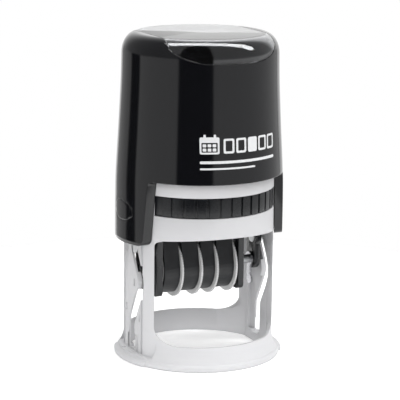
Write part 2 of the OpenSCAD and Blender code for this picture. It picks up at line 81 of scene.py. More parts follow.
axle_z = (stub_lo.z + stub_hi.z) / 2
wheel_z = (wheel_lo.z + wheel_hi.z) / 2
frame_r = cassette_hi.y + 0.1
shell_in = frame_r - 1.4
panel_out = frame_r - 1.2
panel_in = panel_out - 1.8
window_x = panel_in - 0.5
head_top = flange_hi.z
ring_h = 8.0
ring_in = frame_r - 0.9
flange_t = 2.4
flange_r = frame_r + 2.6
bore_r = frame_r + 0.25
skirt_z = handle_lo.z
top_z = window_hi.z
low_r = bore_r + 2.6
high_r = bore_r + 0.8
rim_z = head_top + travel + 2
rim_h = top_z - rim_z
rim_in = 5.2
cassette_z, cassette_top = cassette_lo.z, cassette_hi.z
window_top = cassette_z - 8.6
skirt_half = 13.7
print(f"travel {travel:.1f}, axle at {axle_z:.1f}, head up to {head_top:.1f}, top at {top_z:.1f} mm")

# %% [markdown]
# ## Making meshes from outlines
# Two tools make nearly every moulded part here. A *lathe* turns a half outline about the Z axis, and
# a *plate* pushes a flat outline straight out. Parts are then cut from each other with exact booleans,
# which is how the real mould halves shape them.

# %% Outlines, lathes and plates
FULL_TURN = 2 * math.pi
FAR = 60  # mm, past everything sideways, for cutters


def arc(cx, cy, r, start, end, steps=8):
    """Points on a circle's arc, angles in degrees."""
    angles = np.radians(np.linspace(start, end, steps + 1))
    return [(cx + r * math.cos(a), cy + r * math.sin(a)) for a in angles]


def smooth_line(points, steps=6):
    """A Catmull-Rom curve through the points, so that a gloss surface has no kinks."""
    pts = [np.array(p, float) for p in points]
    pts = [2 * pts[0] - pts[1]] + pts + [2 * pts[-1] - pts[-2]]
    line = []
    for a, b, c, d in zip(pts, pts[1:], pts[2:], pts[3:]):
        for k in range(steps):
            t = k / steps
            line.append(tuple(0.5 * (2 * b + (c - a) * t + (2 * a - 5 * b + 4 * c - d) * t * t
                                     + (3 * b - a - 3 * c + d) * t ** 3)))
    return line + [tuple(pts[-2])]


def keep(bm, name):
    """Turns a bmesh drawn in millimetres into an object in metres, with its faces outwards."""
    bmesh.ops.remove_doubles(bm, verts=bm.verts, dist=1e-4)
    bmesh.ops.recalc_face_normals(bm, faces=bm.faces)
    bmesh.ops.scale(bm, vec=(MM, MM, MM), verts=bm.verts)
    mesh = bpy.data.meshes.new(name)
    bm.to_mesh(mesh)
    bm.free()
    piece = bpy.data.objects.new(name, mesh)
    bpy.context.scene.collection.objects.link(piece)
    return piece


def lathe(name, outline, steps=192):
    """Turns a closed half outline of (radius, height) about the Z axis."""
    bm = bmesh.new()
    rings = []
    for k in range(steps):
        a = FULL_TURN * (k + 0.5) / steps
        rings.append([bm.verts.new((r * math.cos(a), r * math.sin(a), z)) for r, z in outline])
    for k in range(steps):
        here, there = rings[k], rings[(k + 1) % steps]
        for i in range(len(outline)):
            j = (i + 1) % len(outline)
            if outline[i][0] > 1e-6 or outline[j][0] > 1e-6:
                bm.faces.new((here[i], there[i], there[j], here[j]))
    return keep(bm, name)


def plate(name, outline, low, high, axis="y"):
    """Pushes an outline out between low and high: along y it is (x, z), along x (y, z), along z (x, y)."""
    place = {"y": lambda u, v, w: (u, w, v), "x": lambda u, v, w: (w, u, v), "z": lambda u, v, w: (u, v, w)}
    bm = bmesh.new()
    ends = [[bm.verts.new(place[axis](u, v, w)) for u, v in outline] for w in (low, high)]
    for end in ends:
        bm.faces.new(end)
    for i in range(len(outline)):
        j = (i + 1) % len(outline)
        bm.faces.new((ends[0][i], ends[0][j], ends[1][j], ends[1][i]))
    return keep(bm, name)


def block(name, low, high):
    """A box between two corners, for cutting."""
    return plate(name, [(low[0], low[1]), (high[0], low[1]), (high[0], high[1]), (low[0], high[1])],
                 low[2], high[2], "z")


print("outline of a quarter circle:", [tuple(round(c, 2) for c in p) for p in arc(0, 0, 1, 0, 90, 2)])

# %% [markdown]
# ## Cutting and finishing
# A boolean leaves knife edges. Real mouldings have a small radius everywhere, which catches the light,
# so each part gets a narrow bevel on its sharp edges, and its faces are shaded smooth up to an angle.

# %% Boolean, bevel and clean-up
def applied(piece):
    """Replaces a piece's mesh by what its modifiers make of it."""
    graph = bpy.context.evaluated_depsgraph_get()
    old = piece.data
    piece.data = bpy.data.meshes.new_from_object(piece.evaluated_get(graph))
    piece.modifiers.clear()
    bpy.data.meshes.remove(old)
    return piece


def carve(piece, *cutters, how="DIFFERENCE"):
    """Cuts the cutters out of the piece, or keeps or adds them, and throws them away."""
    for cutter in cutters:
        step = piece.modifiers.new("carve", "BOOLEAN")
        step.operation = how
        step.solver = "EXACT"
        step.object = cutter
        applied(piece)
        bpy.data.objects.remove(cutter)
    return piece


def finish_edges(piece, width=0.2, steps=2, angle=35, shade=40):
    """Bevels sharp edges by a width in mm and shades the rest smooth."""
    bm = bmesh.new()
    bm.from_mesh(piece.data)
    bmesh.ops.remove_doubles(bm, verts=bm.verts, dist=0.01 * MM)
    bmesh.ops.dissolve_degenerate(bm, edges=bm.edges, dist=0.01 * MM)
    bm.to_mesh(piece.data)
    bm.free()
    if width:
        soft = piece.modifiers.new("soften", "BEVEL")
        soft.width = width * MM
        soft.segments = steps
        soft.limit_method = "ANGLE"
        soft.angle_limit = math.radians(angle)
        soft.use_clamp_overlap = True
        soft.miter_outer = "MITER_ARC"
        applied(piece)
    piece.data.polygons.foreach_set("use_smooth", [True] * len(piece.data.polygons))
    piece.data.set_sharp_from_angle(angle=math.radians(shade))
    return piece


def refined(node, name, width=0.12):
    """A merged copy of a CAD node, with softened edges."""
    mesh = frame["nodes"][node].data.copy()
    piece = bpy.data.objects.new(name, mesh)
    bpy.context.scene.collection.objects.link(piece)
    bm = bmesh.new()
    bm.from_mesh(mesh)
    bmesh.ops.remove_doubles(bm, verts=bm.verts, dist=0.002 * MM)
    bmesh.ops.dissolve_limit(bm, angle_limit=math.radians(1), verts=bm.verts, edges=bm.edges)
    bm.to_mesh(mesh)
    bm.free()
    mesh.materials.clear()
    return finish_edges(piece, width)


def placed(piece, body, slot, *nodes):
    """Makes a finished piece ride on its body and stand for its CAD nodes."""
    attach(piece, body)
    if nodes:
        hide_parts(*nodes)
    triangles = sum(len(p.vertices) - 2 for p in piece.data.polygons)
    print(f"{piece.name}: {triangles} triangles, rides on {body}")
    return piece


# %% [markdown]
# ## Shader maths as expressions
# Finishes are mixed from noise. Writing `0.4 + 0.1 * grain` is easier to read than wiring Math nodes by
# hand, so a small class wraps a socket and adds the node for each operator. Every other node comes from
# one method that takes its type, its settings and its inputs.

# %% Sockets that can be added and multiplied
class Value:
    """A shader socket that understands + - and *, from either side."""

    def __init__(self, nodes, socket):
        self.nodes, self.socket = nodes, socket

    def _math(self, operation, *terms):
        return self.nodes.node("ShaderNodeMath", {"operation": operation}, dict(enumerate(terms)))

    def __add__(self, other):
        return self._math("ADD", self, other)

    def __sub__(self, other):
        return self._math("SUBTRACT", self, other)

    def __rsub__(self, other):
        return self._math("SUBTRACT", other, self)

    def __mul__(self, other):
        return self._math("MULTIPLY", self, other)

    __radd__ = __add__
    __rmul__ = __mul__


class Nodes:
    """An emptied node tree. Each node is added by one method, which hands back a Value."""

    def __init__(self, tree):
        self.tree = tree
        self.tree.nodes.clear()

    def node(self, kind, settings=None, inputs=None, output=0):
        """Adds a node, sets it up, fills its sockets and returns one of its outputs."""
        made = self.tree.nodes.new(kind)
        for key, value in (settings or {}).items():
            setattr(made, key, value)
        for key, value in (inputs or {}).items():
            self.feed(made.inputs[key], value)
        return Value(self, made.outputs[output])

    def feed(self, socket, value):
        """Links a Value to a socket, or sets the socket to a constant."""
        if isinstance(value, Value):
            self.tree.links.new(value.socket, socket)
        else:
            socket.default_value = value

    def ramp(self, value, low, high):
        """0 below low, 1 above high, and smooth between."""
        return self.node("ShaderNodeMapRange", {"interpolation_type": "SMOOTHSTEP"},
                         {"Value": value, "From Min": low, "From Max": high})


class Paint(Nodes):
    """A procedural finish: a Principled shader fed by expressions."""

    def __init__(self, name):
        self.material = bpy.data.materials.new(name)
        self.material.use_nodes = True
        super().__init__(self.material.node_tree)
        self.shader = self.tree.nodes.new("ShaderNodeBsdfPrincipled")
        output = self.tree.nodes.new("ShaderNodeOutputMaterial")
        self.tree.links.new(self.shader.outputs["BSDF"], output.inputs["Surface"])
        self.place = self.node("ShaderNodeTexCoord", output="Object")

    def noise(self, scale, detail=4, rough=0.5, stretch=None):
        """Noise between 0 and 1, with its scale in blobs per metre, stretched along axes if asked."""
        place = self.place
        if stretch:
            place = self.node("ShaderNodeMapping", {}, {"Vector": place, "Scale": stretch})
        return self.node("ShaderNodeTexNoise", {},
                         {"Vector": place, "Scale": scale, "Detail": detail, "Roughness": rough})

    def mixed(self, mask, first, second):
        """One colour where the mask is 0 and the other where it is 1."""
        return self.node("ShaderNodeMix", {"data_type": "RGBA"}, {0: mask, 6: first, 7: second}, output=2)

    def corners(self, reach):
        """1 on open faces, falling towards 0 in corners narrower than the reach in metres."""
        return self.node("ShaderNodeAmbientOcclusion", {"samples": 8}, {"Distance": reach}, output=1)

    def edges(self, radius):
        """The normal with edges rounded by a radius in metres."""
        return self.node("ShaderNodeBevel", {"samples": 4}, {"Radius": radius})

    def bump(self, height, depth, normal=None):
        """The normal of a surface whose height varies by a depth in metres."""
        inputs = {"Height": height, "Distance": depth, "Strength": 1.0}
        if normal:
            inputs["Normal"] = normal
        return self.node("ShaderNodeBump", {}, inputs)

    def set(self, **sockets):
        """Sets the shader's sockets; underscores in names stand for spaces."""
        for key, value in sockets.items():
            self.feed(self.shader.inputs[key.replace("_", " ")], value)
        return self.material


def coat_with(material, *pieces):
    """Gives pieces or CAD nodes a finish."""
    for piece in pieces:
        piece = frame["nodes"][piece] if isinstance(piece, str) else piece
        piece.data.materials.clear()
        piece.data.materials.append(material)


print("CAD nodes that need a finish:", len(frame["nodes"]))

# %% [markdown]
# ## Finishes
# Moulded plastic is never one flat colour. It has a fine grain from the tool, broad and faint changes in
# gloss where hands touch it, and tiny pits. Scales are in real metres: 4000 blobs a metre is a grain of a
# quarter of a millimetre.

# %% The white body plastic
def white_plastic():
    paint = Paint("body_white")
    grain = paint.noise(5200, 3, 0.6)
    cloud = paint.noise(90, 4, 0.55)
    dust = paint.ramp(paint.noise(420, 5, 0.7), 0.60, 0.78)
    colour = paint.mixed(cloud * 0.5, (0.62, 0.62, 0.635, 1), (0.68, 0.68, 0.69, 1))
    colour = paint.mixed(dust * 0.10, colour, (0.48, 0.47, 0.45, 1))
    # painted shade: the base colour is darkened towards grey in corners and narrow gaps closer than 5 mm,
    # where shade falls
    shade = paint.ramp(1 - paint.corners(0.005), 0.35, 1.0)
    colour = paint.mixed(shade * 0.55, colour, (0.22, 0.22, 0.23, 1))
    height = grain * 0.8 + paint.noise(1500, 2, 0.5) * 0.6
    normal = paint.bump(height, 0.000012, paint.edges(0.00018))
    return paint.set(Base_Color=colour, Roughness=0.36 + 0.16 * cloud + 0.08 * grain, Normal=normal,
                     Specular_IOR_Level=0.4)


WHITE = white_plastic()
print("white plastic:", len(WHITE.node_tree.nodes), "nodes")


# %% The polished black plastic
def gloss_plastic():
    paint = Paint("handle_gloss_black")
    ripple = paint.noise(130, 2, 0.4)
    smear = paint.noise(55, 5, 0.6, (1.0, 1.0, 0.35))
    dust = paint.ramp(paint.noise(3300, 2, 0.5), 0.72, 0.80)
    hairline = paint.ramp(paint.noise(700, 2, 0.5, (1.0, 1.0, 0.04)), 0.70, 0.76)
    colour = paint.mixed(dust * 0.25, (0.0040, 0.0042, 0.0055, 1), (0.03, 0.03, 0.033, 1))
    height = ripple * 1.0 + hairline * -0.05
    normal = paint.bump(height, 0.00001, paint.edges(0.00025))
    return paint.set(Base_Color=colour, Roughness=0.055 + 0.07 * smear + 0.10 * dust, Normal=normal,
                     Specular_IOR_Level=0.5)


GLOSS = gloss_plastic()
print("gloss plastic:", len(GLOSS.node_tree.nodes), "nodes")


# %% The satin black plastic of the inner parts
def satin_plastic():
    paint = Paint("inner_satin_black")
    grain = paint.noise(4200, 3, 0.6)
    cloud = paint.noise(160, 4, 0.5)
    colour = paint.mixed(cloud, (0.004, 0.0045, 0.006, 1), (0.008, 0.009, 0.011, 1))
    normal = paint.bump(grain, 0.000018, paint.edges(0.00015))
    return paint.set(Base_Color=colour, Roughness=0.20 + 0.10 * cloud + 0.06 * grain, Normal=normal)


SATIN = satin_plastic()
print("satin plastic:", len(SATIN.node_tree.nodes), "nodes")


# %% Clear polystyrene, card, felt and metal
def clear_plastic():
    paint = Paint("window_clear")
    swirl = paint.noise(60, 2, 0.5)
    scuff = paint.ramp(paint.noise(900, 3, 0.5, (1.0, 0.08, 1.0)), 0.68, 0.76)
    normal = paint.bump(swirl, 0.00002, paint.edges(0.0002))
    return paint.set(Base_Color=(0.97, 0.98, 1.0, 1), Roughness=0.02 + 0.12 * scuff, Normal=normal,
                     Transmission_Weight=1.0, IOR=1.5)


def card_stock():
    paint = Paint("index_card_grey")
    fibre = paint.noise(2600, 4, 0.7, (1.0, 0.35, 1.0))
    cloud = paint.noise(120, 3, 0.5)
    colour = paint.mixed(fibre * 0.6, (0.15, 0.155, 0.16, 1), (0.20, 0.205, 0.21, 1))
    return paint.set(Base_Color=colour, Roughness=0.72 + 0.12 * cloud, Normal=paint.bump(fibre, 0.00003))


def felt():
    paint = Paint("pad_felt_ink")
    fibre = paint.noise(5200, 5, 0.8)
    wet = paint.ramp(paint.noise(260, 4, 0.6), 0.42, 0.62)
    colour = paint.mixed(fibre, (0.004, 0.004, 0.012, 1), (0.02, 0.02, 0.05, 1))
    return paint.set(Base_Color=colour, Roughness=0.85 - 0.45 * wet, Normal=paint.bump(fibre, 0.00012),
                     Sheen_Weight=0.3)


def metal(name, colour, roughness, stretch):
    paint = Paint(name)
    brush = paint.noise(1800, 3, 0.6, stretch)
    stain = paint.noise(220, 4, 0.6)
    dark = tuple(0.82 * c for c in colour[:3]) + (1,)
    mixed = paint.mixed(stain, colour, dark)
    normal = paint.bump(brush, 0.000010, paint.edges(0.0001))
    return paint.set(Base_Color=mixed, Metallic=1.0, Roughness=roughness + 0.16 * brush, Normal=normal)


CLEAR = clear_plastic()
CARD = card_stock()
FELT = felt()
STEEL = metal("zinc_plated_steel", (0.60, 0.61, 0.62, 1), 0.24, (1.0, 1.0, 0.06))
SPRING = metal("spring_steel", (0.48, 0.48, 0.50, 1), 0.20, (1.0, 1.0, 1.0))
for finish in (CLEAR, CARD, FELT, STEEL, SPRING):
    print(f"{finish.name}:", len(finish.node_tree.nodes), "nodes")


# %% Wheels, bands and the die
def nylon():
    paint = Paint("thumb_disc_grey")
    grain = paint.noise(3800, 3, 0.6)
    cloud = paint.noise(200, 4, 0.5)
    thumbed = paint.ramp(paint.noise(600, 4, 0.6), 0.55, 0.75)
    colour = paint.mixed(cloud, (0.56, 0.56, 0.56, 1), (0.64, 0.64, 0.64, 1))
    colour = paint.mixed(thumbed * 0.12, colour, (0.30, 0.30, 0.29, 1))
    return paint.set(Base_Color=colour, Roughness=0.38 + 0.16 * cloud,
                     Normal=paint.bump(grain, 0.000015, paint.edges(0.00012)), Subsurface_Weight=0.05,
                     Subsurface_Radius=(0.002, 0.002, 0.002), Subsurface_Scale=0.3)


def rubber(name, dark, light, roughness):
    paint = Paint(name)
    grain = paint.noise(6000, 4, 0.7)
    bloom = paint.noise(300, 5, 0.6)
    colour = paint.mixed(paint.ramp(bloom, 0.35, 0.75), dark, light)
    return paint.set(Base_Color=colour, Roughness=roughness + 0.15 * bloom,
                     Normal=paint.bump(grain, 0.00002, paint.edges(0.0001)))


NYLON = nylon()
BAND = rubber("band_rubber_black", (0.005, 0.0055, 0.007, 1), (0.011, 0.012, 0.014, 1), 0.38)
DIE = rubber("die_rubber_brown", (0.22, 0.055, 0.035, 1), (0.30, 0.085, 0.055, 1), 0.55)
BACKING = rubber("backing_grey", (0.05, 0.05, 0.055, 1), (0.075, 0.075, 0.08, 1), 0.40)


def white_print():
    paint = Paint("print_white")
    cover = paint.noise(5000, 4, 0.7)
    colour = paint.mixed(paint.ramp(cover, 0.25, 0.5), (0.60, 0.61, 0.62, 1), (0.80, 0.81, 0.82, 1))
    return paint.set(Base_Color=colour, Roughness=0.35 + 0.1 * cover, Normal=paint.bump(cover, 0.000006))


PRINT = white_print()
print("finishes so far:", len(bpy.data.materials))

# %% [markdown]
# ## The base frame
# One white moulding: a flange, a ring, two columns and the round head that holds the ink cassette. It is
# turned on the lathe as a tube, then the flats and windows are cut, and last the slots, pockets and
# grooves. The cam slots follow the carrier: a pin turns about an axle that sinks at the same time.

# %% Window and slot outlines
PIN_REACH, PIN_START, SLOT_R = 6.2, 8, 2.4
seat_z = skirt_z - travel - 0.25
flat_half = math.sqrt(frame_r ** 2 - panel_out ** 2)
face_h = axle_z - travel


def window_line():
    """Front view of the opening in the frame, with a slightly arched top."""
    low, high, arch = 6.0, 1.8, 1.5
    arch_r = (window_x ** 2 + arch ** 2) / (2 * arch)
    spread = math.degrees(math.asin((window_x - high) / arch_r))
    return (arc(window_x - low, ring_h + low, low, -90, 0, 12)
            + arc(window_x - high, window_top - high, high, 0, 80, 8)
            + arc(0, window_top + arch - arch_r, arch_r, 90 - spread, 90 + spread, 40)
            + arc(-window_x + high, window_top - high, high, 100, 180, 8)
            + arc(-window_x + low, ring_h + low, low, 180, 270, 12))


def pin_at(turn):
    """Where the cam pin's centre is, as (y, z), when the carrier has turned by some degrees."""
    a = math.radians(turn + PIN_START)
    return np.array([-PIN_REACH * math.sin(a), axle_z - travel * turn / 180 - PIN_REACH * math.cos(a)])


def slot_line():
    """The outline that a pin with play sweeps, with its entry lane above and its open foot below."""
    sides = {1: [], -1: []}
    for turn in range(0, 181, 4):
        run = pin_at(turn + 0.5) - pin_at(turn - 0.5)
        across = SLOT_R * np.array([-run[1], run[0]]) / np.linalg.norm(run)
        for side in sides:
            sides[side].append(tuple(pin_at(turn) + side * across))
    top, end = pin_at(0), pin_at(180)
    above = [(top[0] - SLOT_R, window_top + 4), (top[0] + SLOT_R, window_top + 4)]
    below = [(end[0] + SLOT_R, seat_z + 0.35), (end[0] - SLOT_R, seat_z + 0.35)]
    right = sides[1] if sides[1][0][0] > sides[-1][0][0] else sides[-1]
    left = sides[-1] if right is sides[1] else sides[1]
    return [above[0], above[1]] + right + below + left[::-1]


print("the slot's widest bulge is at z =", round(float(pin_at(90 - PIN_START)[1]), 1), "mm")


# %% Turn, cut and soften the frame
def flange_outline(radius, lip, inner, low, top):
    """The foot of the frame as a closed half outline, out to a radius."""
    return ([(inner, low), (radius - 0.6, low)] + arc(radius - 0.6, low + 0.6, 0.6, -60, 0, 4)
            + arc(radius - lip, flange_t - 1.2, lip, 0, 75, 8) + top)


def frame_body():
    head = lathe("base_frame_body", flange_outline(flange_r, 1.2, ring_in, 0, [
        (frame_r + 1.55, flange_t + 0.55), (frame_r + 0.95, flange_t + 1.6), (frame_r + 0.5, flange_t + 3),
        (frame_r, ring_h), (frame_r, head_top - 0.4), (frame_r - 0.4, head_top),
        (5, head_top), (5, head_top - 3), (shell_in, head_top - 3.8), (shell_in, ring_h + 1.5),
        (ring_in, ring_h)]), 256)
    for side in (-1, 1):
        # a seat for each skirt, level with the flange, then the flat of the panel
        seat = lathe("seat", [
            (frame_r - 0.02, seat_z), (FAR, seat_z), (FAR, ring_h + 4), (frame_r - 0.02, ring_h + 4)], 256)
        lo, hi = sorted((side * 12, side * 70))
        carve(seat, block("seat_keep", (lo, -skirt_half, -5), (hi, skirt_half, 40)), how="INTERSECT")
        carve(head, seat)
        lo, hi = sorted((side * panel_out, side * 70))
        carve(head, block("flat", (lo, -11, seat_z + 0.03), (hi, 11, 200)))
        # the panel itself, and the web that ties it to the ring
        lo, hi = sorted((side * panel_in, side * (panel_out - 0.3)))
        carve(head, block("panel", (lo, -8.3, 0.04), (hi, 8.3, head_top - 3.1)), how="UNION")
        lo, hi = sorted((side * (panel_in + 0.5), side * (ring_in + 0.35)))
        carve(head, block("web", (lo, -7.2, 0.08), (hi, 7.2, seat_z - 0.05)), how="UNION")
        pad = lathe("side_pad", flange_outline(flange_r + 0.8, 1.0, frame_r - 0.4, 0.05, [
            (frame_r - 0.4, flange_t - 0.2)]), 256)
        lo, hi = sorted((side * 10, side * FAR))
        pad_half = skirt_half - 1.2
        carve(pad, block("pad_keep", (lo, -pad_half, -5), (hi, pad_half, 10)), how="INTERSECT")
        carve(head, pad, how="UNION")
    return head


base = frame_body()
carve(base, plate("windows", window_line(), -FAR, FAR))
carve(base, block("cassette_gap", (-window_x, -FAR, cassette_z - 0.1), (window_x, FAR, cassette_top + 0.1)))
print("frame turned and windowed:", len(base.data.polygons), "faces")

# %% Slots, channels and pockets of the side panels
leg_y0, leg_y1 = 3.4, 6.2
channel_out = yoke_hi.x + 0.15
boss_low = face_h - 2.9
pocket_spots = [(5.4, 38), (-1.2, 27), (5.4, 17), (-5.6, 15.5)]
for side in (-1, 1):
    def cut(name, x0, x1, y0, y1, z0, z1):
        lo, hi = sorted((side * x0, side * x1))
        carve(base, block(name, (lo, y0, z0), (hi, y1, z1)))

    cut("leg_lane", panel_in - 1, channel_out, leg_y0 - 0.25, leg_y1 + 0.25, boss_low, 90)
    cut("boss_lane", panel_in - 1, channel_out, -2.85, leg_y1 + 0.25, boss_low, axle_z + 5)
    lo, hi = sorted((side * (panel_in - 1.5), side * FAR))
    carve(base, plate("cam_slot", slot_line(), lo, hi, "x"))
    for y, z in pocket_spots:
        cut("pocket", panel_out - 0.34, FAR, y - 0.5, y + 0.5, z - 1.3, z + 1.3)
    for edge in (0.4 - flat_half, flat_half - 0.4):
        cut("edge_groove", panel_out - 0.7, FAR, edge - 0.65, edge + 0.65, seat_z + 0.3, head_top - 3)
    # finger groove in the flange at the foot of the panel
    middle = side * (panel_out + 1.3)
    groove = arc(middle, seat_z + 0.8, 1.2, 0, 345, 23)
    carve(base, plate("foot_groove", groove, -4.5, 4.5))
finish_edges(base, 0.22, 2, 38, 42)
coat_with(WHITE, base)
placed(base, "frame", "frame_white", "base_frame")

# %% [markdown]
# ## The handle
# A deep gloss-black cup with two skirts. Gloss shows every kink, so its half outline is a smooth curve
# turned with many steps. Its lower edge is cut with one side view, so the skirts get rounded corners.

# %% Handle outline and skirts
def rim_line(grow=0.0, steps=16):
    """The rounded rim of the handle, from its side up to the flat top."""
    return [(high_r - rim_in + (rim_in + grow) * math.cos(a), rim_z + (rim_h + grow) * math.sin(a))
            for a in np.linspace(0, math.pi / 2, steps + 1)]


def handle_line():
    """The outside of the handle, from below the skirts up to the start of the rim."""
    return smooth_line([
        (bore_r + 2.9, skirt_z - 3), (bore_r + 2.84, head_top - 8), (low_r + 0.02, head_top + 1),
        (low_r - 0.9, head_top + travel * 0.45), (high_r + 0.25, head_top + travel * 0.8),
        (high_r, rim_z)], 8)


def skirt_line():
    """Side view of the handle: its lower edge at the head's top, and a skirt with rounded corners."""
    low_half, corner, inner = skirt_half - 1.5, 2.4, 1.5
    return ([(FAR, top_z + 5), (FAR, head_top)]
            + arc(skirt_half + inner, head_top - inner, inner, 90, 180, 8)
            + arc(low_half - corner, skirt_z + corner + 0.3, corner, 0, -80, 10) + [(0, skirt_z)]
            + arc(-low_half + corner, skirt_z + corner + 0.3, corner, 260, 180, 10)
            + arc(-skirt_half - inner, head_top - inner, inner, 0, 90, 8)
            + [(-FAR, head_top), (-FAR, top_z + 5)])


print("outside of the handle:", len(handle_line()), "points up to the rim")


lobe_x = window_hi.x
tongue_z, tongue_rise = window_lo.z, 4.2


def tongue_line(grow=0.0, z_grow=0.0):
    """Front view of the clear window, with its tongue over the rim."""
    half = lobe_x + grow
    curve = [(s * half, tongue_z - z_grow + tongue_rise * s ** 4) for s in np.linspace(0.97, -0.97, 41)]
    corner = tongue_z + tongue_rise - z_grow
    return [(half, top_z + 5), (half, corner + 0.3)] + curve + [(-half, corner + 0.3), (-half, top_z + 5)]


def button_line(grow):
    """The outline of a lock button, an eye with blunt ends, as (y, z)."""
    y, z, rise = 7.2 + grow, 3.3 + grow, 3.3 - 1.2
    r = (y * y + rise * rise) / (2 * rise)
    spread = math.degrees(math.asin(y / r))
    mid = skirt_z + 11
    return (arc(0, mid + z - r, r, 90 - spread, 90 + spread, 24)
            + arc(0, mid - z + r, r, 270 - spread, 270 + spread, 24))


# %% Turn and cut the handle
roof_under = top_z - 1.1 - 0.3 - 0.05 - 0.05 - 1.8
bore_top = rim_z - 1.5
outside = handle_line() + rim_line()[1:]
inside = [(0, roof_under), (bore_r - 2.0, roof_under), (bore_r - 0.9, roof_under - 1.5),
          (bore_r - 0.9, bore_top), (bore_r, bore_top - 0.5), (bore_r, skirt_z - 3)]
handle = lathe("handle_body", outside + [(0, top_z)] + inside, 288)
carve(handle, plate("skirt_keep", skirt_line(), -FAR, FAR, "x"), how="INTERSECT")
card_r = high_r - rim_in + 0.2
seat_floor = top_z - 1.45
seat = lathe("card_seat", [(0, seat_floor), (card_r, seat_floor), (card_r, top_z + 5), (0, top_z + 5)], 192)
carve(seat, block("seat_keep", (-lobe_x + 0.5, -FAR, 0), (lobe_x - 0.5, FAR, 200)), how="INTERSECT")
carve(handle, seat)
rim_ring = lathe("rim_ring", [(high_r - 0.5, tongue_z - 9)] + rim_line(-0.5) + [
    (0, top_z - 0.5), (0, top_z + 6), (high_r + 4, top_z + 6), (high_r + 4, tongue_z - 9)], 288)
carve(rim_ring, plate("tongue_keep", tongue_line(0.12, 0.12), -FAR, FAR), how="INTERSECT")
carve(handle, rim_ring)
for side in (-1, 1):
    lo, hi = sorted((side * (panel_out - 1), side * FAR))
    carve(handle, plate("button_hole", button_line(0.15), lo, hi, "x"))
finish_edges(handle, 0.25, 3, 38, 45)
coat_with(GLOSS, handle)
placed(handle, "handle", "gloss_black", "handle_shell")

# %% [markdown]
# ## The print on the handle
# A pad-printed mark in white: a little calendar, a row of day boxes and two plain rules. It is drawn flat,
# cut into narrow strips so that it can bend, and then wrapped around the curve of the handle.

# %% Draw the mark flat and wrap it
profile = np.array(handle_line())


def ring_shape(x, z, wide, tall, corner=0.5):
    """A rounded rectangle with its lower left corner at x, z."""
    c = corner
    return (arc(x + wide - c, z + c, c, 270, 360, 4) + arc(x + wide - c, z + tall - c, c, 0, 90, 4)
            + arc(x + c, z + tall - c, c, 90, 180, 4) + arc(x + c, z + c, c, 180, 270, 4))


def wrapped(name, outlines, holes=()):
    """Thin print on the handle's front from outlines of (arc length, height) in mm."""
    ink = None
    for k, outline in enumerate(outlines):
        shape = plate(f"{name}_shape_{k}", outline, -0.03, 0.0)
        if ink:
            carve(ink, shape, how="UNION")
        else:
            ink = shape
    for k, outline in enumerate(holes):
        carve(ink, plate(f"hole_{k}", outline, -1, 1))
    bm = bmesh.new()
    bm.from_mesh(ink.data)
    bmesh.ops.triangulate(bm, faces=bm.faces)
    strips = ((Vector((1, 0, 0)), np.arange(-14, 20, 0.7)), (Vector((0, 0, 1)), np.arange(68, 84, 2.0)))
    for axis, spots in strips:
        for spot in spots:
            bmesh.ops.bisect_plane(bm, geom=bm.verts[:] + bm.edges[:] + bm.faces[:],
                                   plane_co=axis * float(spot) * MM, plane_no=axis)
    for vertex in bm.verts:
        s, y, z = (c / MM for c in vertex.co)
        r = np.interp(z, profile[:, 1], profile[:, 0]) + 0.01 - y
        turn = s / r
        vertex.co = Vector((r * math.sin(turn), -r * math.cos(turn), z)) * MM
    bm.to_mesh(ink.data)
    bm.free()
    return ink


low, high = 74.8, 81.0
calendar = wrapped("print_calendar",
                   [ring_shape(-12.2, low, 6.6, high - low - 0.6)]
                   + [ring_shape(x, high - 1.2, 0.8, 1.5, 0.3) for x in (-10.9, -7.5)],
                   [ring_shape(-11.6, low + 0.6, 5.4, 3.2, 0.3)])
dates = wrapped("print_dates", [ring_shape(-11.2 + 1.65 * i, low + 0.95 + 1.4 * j, 1.2, 1.0, 0.2)
                                for i in range(3) for j in range(2)])
days = wrapped("print_days", [ring_shape(-4.2 + 4.5 * i, low + 0.1, 3.8, 4.9, 0.6) for i in range(5)],
               [ring_shape(-3.5 + 4.5 * i, low + 0.8, 2.4, 3.5, 0.3) for i in (0, 1, 3, 4)])
rules = wrapped("print_rules",
                [ring_shape(-12.2, 71.6, 30.0, 0.9, 0.3), ring_shape(-12.2, 69.6, 20.0, 0.6, 0.25)])
for ink in (calendar, dates, days, rules):
    ink.data.polygons.foreach_set("use_smooth", [False] * len(ink.data.polygons))
    coat_with(PRINT, ink)
    placed(ink, "handle", "gloss_black")

# %% [markdown]
# ## The clear window and its card
# The window is a thin dish that lies over the card and hooks over the rim. It is cut from the same rim
# curve as the handle, half a millimetre thick over the rim and a full millimetre over the card.

# %% Clear window
inner_rim = [p for p in rim_line(-0.45) if p[0] > card_r - 0.1]
clear = lathe("index_window_clear", [(high_r, tongue_z - 2)] + rim_line() + [(0, top_z), (0, top_z - 1.1),
              (card_r - 0.1, top_z - 1.1), (card_r - 0.1, inner_rim[-1][1])]
              + inner_rim[::-1] + [(high_r - 0.45, tongue_z - 2)], 288)
carve(clear, plate("tongue_cut", tongue_line(), -FAR, FAR), how="INTERSECT")
finish_edges(clear, 0.12, 2, 40, 45)
coat_with(CLEAR, clear)
placed(clear, "index_window", "clear_cap", "index_window")
coat_with(CARD, "index_card")

# %% Lock buttons
for side, name in ((-1, "left"), (1, "right")):
    lo, hi = sorted((side * (bore_r + 0.15), side * 40))
    button = plate(f"lock_button_{name}_cap", button_line(0), lo, hi, "x")
    skin_line = [(0, skirt_z)] + [(r + 0.03, z) for r, z in handle_line()] + [(0, rim_z)]
    skin = lathe("button_skin", skin_line, 288)
    carve(button, skin, how="INTERSECT")
    finish_edges(button, 0.25, 3, 35, 40)
    coat_with(GLOSS, button)
    placed(button, f"lock_{name}", "gloss_black", f"lock_button_{name}")

